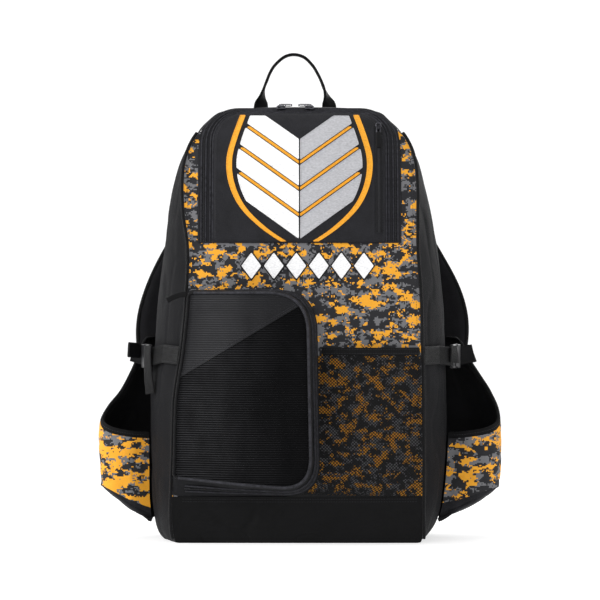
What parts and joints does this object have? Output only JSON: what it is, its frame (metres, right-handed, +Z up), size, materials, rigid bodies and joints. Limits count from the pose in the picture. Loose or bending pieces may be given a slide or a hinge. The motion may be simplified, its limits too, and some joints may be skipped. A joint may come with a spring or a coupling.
{
  "type": "sports backpack",
  "caption": "Upright sports backpack with a zipped front flap, a box pocket, a mesh pocket, open bat pockets held by buckled straps, padded shoulder straps and a haul handle.",
  "frame": {"origin": "middle of the flat base, on its underside", "axes": "+X to the right seen from the front, +Y to the wearer's back, +Z up"},
  "size_m": [0.5303, 0.3377, 0.644],
  "materials": {
    "camouflage_cloth": "printed woven polyester in orange, grey and black digital camouflage",
    "black_cloth": "black woven polyester",
    "grey_cloth": "dark grey coated nylon",
    "net": "black knitted net",
    "webbing": "black webbing and binding tape",
    "plastic": "black moulded acetal",
    "slider_metal": "dark plated zinc"
  },
  "bodies": {
    "root": {"front_panel": "camouflage_cloth", "bat_pocket_left": "camouflage_cloth", "bat_pocket_right": "camouflage_cloth", "flap": "black_cloth", "zip_band": "black_cloth", "top_gusset": "black_cloth", "bottom_panel": "black_cloth", "base_band": "black_cloth", "back_panel": "black_cloth", "box_pocket_wall": "black_cloth", "box_pocket_upper_cloth": "black_cloth", "shoulder_strap_left": "black_cloth", "shoulder_strap_right": "black_cloth", "side_panel_left": "grey_cloth", "side_panel_right": "grey_cloth", "box_pocket_ribbed_mesh": "net", "mesh_pocket_net": "net", "flap_zip": "webbing", "seam_piping_left": "webbing", "seam_piping_right": "webbing", "box_pocket_piping": "webbing", "box_pocket_zip_pull": "webbing", "mesh_pocket_binding": "webbing", "bat_pocket_binding_left": "webbing", "bat_pocket_binding_right": "webbing", "compression_strap_left": "webbing", "compression_strap_right": "webbing", "wing_webbing_left": "webbing", "wing_webbing_right": "webbing", "strap_tail_left": "webbing", "strap_tail_right": "webbing", "webbing_tab_left": "webbing", "shoulder_webbing_left": "webbing", "shoulder_webbing_right": "webbing", "haul_handle": "webbing", "buckle_male_left": "plastic", "buckle_female_left": "plastic", "buckle_male_right": "plastic", "buckle_female_right": "plastic", "adjuster_left": "plastic", "adjuster_right": "plastic", "flap_zip_slider": "slider_metal", "top_zip_slider_left": "slider_metal", "top_zip_slider_right": "slider_metal"}
  },
  "joints": []
}
